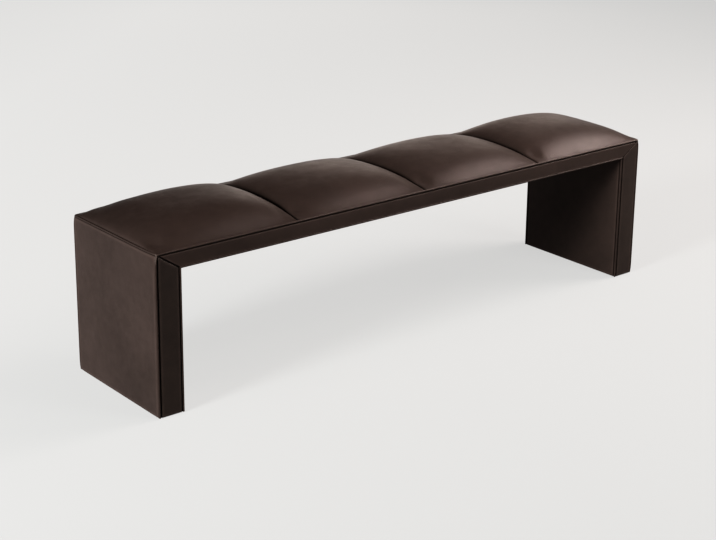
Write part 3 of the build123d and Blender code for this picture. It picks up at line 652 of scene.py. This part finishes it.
# Piped edge round the seat.
prof, edge = bead_profile()
cols = [ring_points(a) for a, _ in prof]
m = len(cols[0])
size = uneven(m, 0.03, 4.4)
size = size * 0.5 + np.roll(size, m // 2) * 0.5
rows = np.zeros((m, len(prof), 3))
for j, (a, bdown) in enumerate(prof):
    rows[:, j, :2] = cols[j]
    rows[:, j, 2] = TOP - bdown
b = Build()
b.tube(rows, closed=True, edge=edge)
b.object("seat_piping", welt_mat, "welt_leather", ["seat_welt"])

for side, sx in (("left", -1), ("right", 1)):
    b = Build()
    for sy in (-1, 1):
        upright_bead(b, sx, sy, sx * HX, SKIRT_Z, TOP - 3.2, lean=1.4)
        upright_bead(b, sx, sy, sx * LEG_IN, SKIRT_Z, RAIL_Z + 3.0)
    b.object(f"{side}_leg_piping", welt_mat, "welt_leather", [f"{side}_leg_welts"])

prof, edge = bead_profile(depth=3.2)
b = Build()
for sy in (-1, 1):
    xs = np.linspace(-(LEG_IN + 4.0), LEG_IN + 4.0, 261)
    rows = [np.stack([np.full(len(prof), x), sy * (HY - prof[:, 0]), RAIL_Z + prof[:, 1]], -1) for x in xs]
    b.tube(rows, edge=edge)
b.object("rail_lower_piping", welt_mat, "welt_leather", ["rail_lower_welts"])


# ------------------------------------------------------------ flat leather panels
def mitre(z):
    """x of the mitre seam at height z."""
    return HX - (TOP - z) * LEG_T / RAIL_H


MITRE_GAP = {-1: 1.9, 1: 0.9}          # from the mitre to the folded edge on each side, measured upright, at either leg


def seam_tongue(build, sx, sy):
    """Seam allowance behind a mitre: a thin strip of leather that closes the groove, painted near-black as the shade at
    the groove's bottom.
    """
    p0 = np.array([mitre(TOP - 6) * sx, 0, TOP - 6])
    p1 = np.array([mitre(RAIL_Z + 2.2) * sx, 0, RAIL_Z + 2.2])
    along = (p1 - p0) / np.linalg.norm(p1 - p0)
    across = np.array([along[2], 0, -along[0]])
    rows = []
    for t in np.linspace(0, 1, 13):
        c = p0 + (p1 - p0) * t
        section = []
        for w, d in ((-8, 4.05), (8, 4.05), (8, 4.9), (-8, 4.9)):
            q = c + across * w
            section.append((q[0], sy * (HY - d), q[2]))
        rows.append(section)
    build.tube(rows, edge=np.ones(4))


for side, sx in (("left", -1), ("right", 1)):
    # Outer face.
    b = Build()
    y, zt = HY - 4.7, TOP - 5.6
    panel(b, [(sx * HX, -y, SKIRT_Z), (sx * HX, y, SKIRT_Z), (sx * HX, y, zt), (sx * HX, -y, zt)], (sx, 0, 0),
          [(2.2, 0.9), (2.2, 0.9), (2.5, 2.0), (2.2, 1.1)], seed=2.0 + sx, bulge=0.7, wave=0.5)
    b.object(f"{side}_leg_outer_panel", side_mat, "side_leather", [f"{side}_leg_outer_leather"])
    # Inner face.
    b = Build()
    y, zt = HY - BORDER, RAIL_Z - 1.2
    panel(b, [(sx * LEG_IN, -y, SKIRT_Z), (sx * LEG_IN, y, SKIRT_Z), (sx * LEG_IN, y, zt), (sx * LEG_IN, -y, zt)], (-sx, 0, 0),
          [(2.6, 3.2), (2.6, 3.2), (2.5, 2.0), (3.0, 2.4)], seed=5.0 + sx, bulge=1.0, wave=0.45)
    b.object(f"{side}_leg_inner_panel", side_mat, "leg_leather", [f"{side}_leg_inner_leather"])
    # Front and rear faces, mitred into the rail.
    for face, sy in (("front", -1), ("rear", 1)):
        b = Build()
        xo, xi = HX - BORDER - (0.6 if sx < 0 else -1.9), LEG_IN + BORDER
        zo = TOP - (HX - xo) * RAIL_H / LEG_T - MITRE_GAP[sx]
        zi = TOP - (HX - xi) * RAIL_H / LEG_T - MITRE_GAP[sx]
        panel(b, [(sx * xo, sy * HY, SKIRT_Z), (sx * xi, sy * HY, SKIRT_Z), (sx * xi, sy * HY, zi), (sx * xo, sy * HY, zo)], (0, sy, 0),
              [(2.6, 3.6) if sx < 0 else (2.0, 1.4), (2.6, 3.4), (2.5, 2.0), (2.8, 3.6 if sx < 0 else 2.4)], seed=8.0 + sx + 3 * sy, bulge=0.7, wave=0.3, step=6.0)
        seam_tongue(b, sx, sy)
        b.object(f"{side}_leg_{face}_panel", leg_mat, "leg_leather", [f"{side}_leg_{face}_leather"])

for face, sy in (("front", -1), ("rear", 1)):
    b = Build()
    z1, z0 = TOP - BORDER, RAIL_Z + 5.0
    left, right = (k * LEG_T / RAIL_H for k in (MITRE_GAP[-1], MITRE_GAP[1]))
    panel(b, [(left - mitre(z0), sy * HY, z0), (mitre(z0) - right, sy * HY, z0), (mitre(z1) - right, sy * HY, z1), (left - mitre(z1), sy * HY, z1)], (0, sy, 0),
          [(2.8, 3.6), (2.8, 2.4), (2.5, 0.9), (2.6, 3.4)], seed=14.0 + 2 * sy, bulge=0.5, wave=0.3, step=5.0)
    b.object(f"{face}_rail_panel", rail_mat, "rail_leather", [f"{face}_rail_leather"])

b = Build()
xu, yu = LEG_IN - 1.2, HY - 5.3
panel(b, [(-xu, -yu, RAIL_Z), (xu, -yu, RAIL_Z), (xu, yu, RAIL_Z), (-xu, yu, RAIL_Z)], (0, 0, -1),
      [(3.0, 2.4), (3.0, 2.4), (2.5, 0.9), (2.5, 0.9)], seed=21.0, bulge=0.6, wave=0.5, step=12.0)
b.object("underside_panel", rail_mat, "rail_leather", ["underside_leather"])


# --------------------------------------------------- lining behind the flat panels
def pad(build, corners, outward, front=2.9, back=4.95):
    c = [np.array(p, float) for p in corners]
    nrm = np.array(outward, float)
    lu, lv = np.linalg.norm(c[1] - c[0]), np.linalg.norm(c[3] - c[0])
    us, vs = stations(lu, 1.5, 1.5, 30, 3) / lu, stations(lv, 1.5, 1.5, 30, 3) / lv
    u, v = np.meshgrid(us, vs, indexing="ij")
    p = ((1 - u) * (1 - v))[..., None] * c[0] + (u * (1 - v))[..., None] * c[1] + (u * v)[..., None] * c[2] + ((1 - u) * v)[..., None] * c[3]
    near = np.minimum(np.minimum(u, 1 - u) * lu, np.minimum(v, 1 - v) * lv)
    top = p - (front + rolled(near, 1.5, 0.9))[..., None] * nrm
    build.shell(top, p - back * nrm)


for side, sx in (("left", -1), ("right", 1)):
    b = Build()
    y = HY - 20
    pad(b, [(sx * HX, -y, 12), (sx * HX, y, 12), (sx * HX, y, TOP - 20), (sx * HX, -y, TOP - 20)], (sx, 0, 0))
    pad(b, [(sx * LEG_IN, -y, 12), (sx * LEG_IN, y, 12), (sx * LEG_IN, y, RAIL_Z - 9), (sx * LEG_IN, -y, RAIL_Z - 9)], (-sx, 0, 0))
    for sy in (-1, 1):
        xo, xi = HX - 20, LEG_IN + 20
        pad(b, [(sx * xo, sy * HY, 12), (sx * xi, sy * HY, 12), (sx * xi, sy * HY, mitre(0) * 0 + TOP - (HX - xi) * RAIL_H / LEG_T - 14),
                (sx * xo, sy * HY, TOP - (HX - xo) * RAIL_H / LEG_T - 14)], (0, sy, 0))
    b.object(f"{side}_leg_lining", foam_mat, "foam", [f"{side}_leg_padding"])
b = Build()
for sy in (-1, 1):
    z1, z0 = TOP - 19, RAIL_Z + 16
    x1, x0 = mitre(z1) - 20, mitre(z0) - 20
    pad(b, [(-x0, sy * HY, z0), (x0, sy * HY, z0), (x1, sy * HY, z1), (-x1, sy * HY, z1)], (0, sy, 0))
b.object("rail_lining", foam_mat, "foam", ["rail_padding"])


# ----------------------------------------------------------------------- stitches
def stitch(build, p0, p1, lift, r=0.36):
    """One stitch: a short rounded thread that dives in at both ends."""
    p0, p1, lift = np.array(p0, float), np.array(p1, float), np.array(lift, float)
    axis = (p1 - p0) / np.linalg.norm(p1 - p0)
    up = lift / np.linalg.norm(lift)
    side = np.cross(axis, up)
    rows = []
    for t, k in ((0.0, 0.55), (0.15, 0.95), (0.5, 1.0), (0.85, 0.95), (1.0, 0.55)):
        c = p0 + (p1 - p0) * t + lift * (4 * t * (1 - t) - 1)
        rows.append([c + r * k * (math.cos(w) * up + math.sin(w) * side) for w in np.radians(range(0, 360, 60))])
    build.tube(rows)


b = Build()
PITCH, LEN = 6.0, 4.2
for sy in (-1, 1):
    n = int(2 * (HX - 14) / PITCH)
    for i in range(n):
        x = -(HX - 14) + (i + 0.5) * 2 * (HX - 14) / n
        stitch(b, (x - LEN / 2, sy * (HY - 3.1), TOP - 5.25), (x + LEN / 2, sy * (HY - 3.1), TOP - 5.25), (0, sy * 0.5, 0))
for sx in (-1, 1):
    n = int(2 * (HY - 12) / PITCH)
    for i in range(n):
        y = -(HY - 12) + (i + 0.5) * 2 * (HY - 12) / n
        stitch(b, (sx * (HX - 3.1), y - LEN / 2, TOP - 5.5), (sx * (HX - 3.1), y + LEN / 2, TOP - 5.5), (sx * 0.5, 0, 0))
    for sy in (-1, 1):
        n = int((TOP - 30) / PITCH)
        for i in range(n):
            z = 8 + (i + 0.5) * (TOP - 30) / n
            stitch(b, (sx * (HX - 5.6), sy * (HY - 3.1), z - LEN / 2), (sx * (HX - 5.6), sy * (HY - 3.1), z + LEN / 2), (0, sy * 0.5, 0))
        n = int((RAIL_Z - 20) / PITCH)
        for i in range(n):
            z = 8 + (i + 0.5) * (RAIL_Z - 20) / n
            stitch(b, (sx * (LEG_IN + 5.4), sy * (HY - 3.1), z - LEN / 2), (sx * (LEG_IN + 5.4), sy * (HY - 3.1), z + LEN / 2), (0, sy * 0.5, 0))
b.object("seam_threads", thread_mat, "welt_leather")

# --------------------------------------------------------------- floor and lights
def stage_material():
    m, nt, bsdf = node_tree("studio_floor")
    at = coords(nt)
    n = noise_tex(nt, at, 0.7, 3.0)
    link(nt, ramp(nt, n, [(0.3, (0.0445, 0.0444, 0.0440)), (0.7, (0.0455, 0.0454, 0.0450))]), bsdf.inputs["Base Color"])
    bsdf.inputs["Roughness"].default_value = 0.9
    bsdf.inputs["Specular IOR Level"].default_value = 0.0
    split = add_node(nt, "ShaderNodeSeparateXYZ")
    link(nt, at, split.inputs["Vector"])
    over = calc(nt, "ADD", calc(nt, "MULTIPLY", split.outputs["X"], 0.65), calc(nt, "MULTIPLY", split.outputs["Y"], -0.76))
    fade = remap(nt, over, -2.0, 2.0, 0.0, 1.0)
    link(nt, ramp(nt, fade, [(0.0, (1.0, 0.995, 0.985)), (1.0, (0.80, 0.797, 0.790))]), bsdf.inputs["Emission Color"])
    bsdf.inputs["Emission Strength"].default_value = FLOOR_GLOW
    return m


FLOOR_GLOW = 0.523
WORLD = (0.012, (1.0, 1.0, 1.0))
# Softboxes: name, azimuth from +Y towards +X, elevation, distance, width, height, watts, colour, aim
MIDDLE = (0.0, 0.0, 0.25)
LIGHTS = [
    ("key_left", 261.5, 17.5, 8.0, 1.6, 1.6, 1560.0, (0.95, 1.0, 0.99), MIDDLE),
    ("box_right", 109.0, 29.0, 5.0, 2.2, 2.2, 318.0, (1.0, 0.93, 0.885), MIDDLE),
    ("front_right", 166.0, 15.0, 3.0, 1.4, 0.9, 38.0, (0.86, 0.97, 1.0), (0.3, 0.0, 0.35)),
    ("low_left", 270.0, 8.0, 5.0, 1.6, 1.2, 108.0, (0.949, 0.913, 1.0), MIDDLE),
    ("soft_front", 164.0, 38.0, 3.0, 1.4, 1.4, 54.0, (1.0, 0.93, 0.89), (0.3, 0.0, 0.4)),
    ("high_front_right", 106.0, 46.0, 3.0, 1.0, 1.0, 82.0, (1.0, 0.9, 0.88), (0.6, 0.0, 0.4)),
    ("high_right", 83.0, 48.0, 2.8, 0.8, 0.8, 21.0, (1.0, 0.87, 0.86), (0.6, -0.1, 0.4)),
    ("mid_right", 90.0, 25.0, 5.0, 1.8, 1.8, 8.0, (1.0, 0.94, 0.93), MIDDLE),
    ("low_back_right", 45.0, 8.0, 5.0, 1.6, 1.2, 7.0, (1.0, 0.85, 0.76), MIDDLE),
    ("box_back_right", 60.0, 25.0, 5.0, 1.8, 1.8, 8.0, (1.0, 0.87, 0.78), MIDDLE),
    ("low_back", 30.0, 8.0, 5.0, 1.6, 1.2, 6.0, (1.0, 0.85, 0.76), MIDDLE),
    ("box_back", 45.0, 25.0, 5.0, 1.8, 1.8, 4.0, (1.0, 0.87, 0.78), MIDDLE),
]

bpy.ops.mesh.primitive_plane_add(size=80, location=(0, 0, 0))
floor = bpy.context.object
floor.name = "studio_floor"
stage_mat = stage_material()
floor.data.materials.append(stage_mat)

# A low round wall far behind the floor carries its tone on above the horizon.
ring = [(36.0 * math.cos(t), 36.0 * math.sin(t)) for t in np.linspace(0, 2 * math.pi, 97)[:-1]]
wall_mesh = bpy.data.meshes.new("studio_wall")
wall_mesh.from_pydata([(x, y, z) for z in (-0.05, 6.5) for x, y in ring], [],
                      [((i + 1) % 96, i, i + 96, (i + 1) % 96 + 96) for i in range(96)])
wall_mesh.polygons.foreach_set("use_smooth", [True] * 96)
wall_mesh.materials.append(stage_mat)
wall = bpy.data.objects.new("studio_wall", wall_mesh)
scene.collection.objects.link(wall)

for name, az, el, dist, w, h, watts, colour, aim in LIGHTS:
    data = bpy.data.lights.new(name, "AREA")
    data.shape, data.size, data.size_y = "RECTANGLE", w, h
    data.energy, data.color = watts, colour
    o = bpy.data.objects.new(name, data)
    o.visible_camera = False
    scene.collection.objects.link(o)
    a, e = math.radians(az), math.radians(el)
    way = Vector((math.sin(a) * math.cos(e), math.cos(a) * math.cos(e), math.sin(e)))
    o.location = Vector(aim) + way * dist
    o.rotation_mode = "QUATERNION"
    o.rotation_quaternion = way.to_track_quat("Z", "Y")

world = bpy.data.worlds.new("studio")
scene.world = world
world.use_nodes = True
back = world.node_tree.nodes["Background"]
back.inputs["Color"].default_value = (*WORLD[1], 1.0)
back.inputs["Strength"].default_value = WORLD[0]

# ------------------------------------------------------------------------ camera
cam_data = bpy.data.cameras.new("camera")
cam_data.sensor_width = 36.0
cam_data.lens = 80.154
cam_data.shift_x, cam_data.shift_y = 0.0, -0.12
cam_data.clip_start, cam_data.clip_end = 0.05, 200.0
cam = bpy.data.objects.new("camera", cam_data)
scene.collection.objects.link(cam)
yaw, pitch, roll = math.radians(39.231), math.radians(17.012), math.radians(0.585)
look = Vector((math.sin(yaw) * math.cos(pitch), math.cos(yaw) * math.cos(pitch), -math.sin(pitch)))
flat = Vector((math.cos(yaw), -math.sin(yaw), 0.0))
over = flat.cross(look)
right = flat * math.cos(roll) + over * math.sin(roll)
over = over * math.cos(roll) - flat * math.sin(roll)
turn = Matrix((right, over, -look)).transposed()
cam.location = (-2.71429, -3.22895, 1.68438)
cam.rotation_mode = "QUATERNION"
cam.rotation_quaternion = turn.to_quaternion()
scene.camera = cam

scene.view_settings.view_transform = "Standard"
scene.view_settings.look = "High Contrast"
scene.view_settings.exposure = 0.0
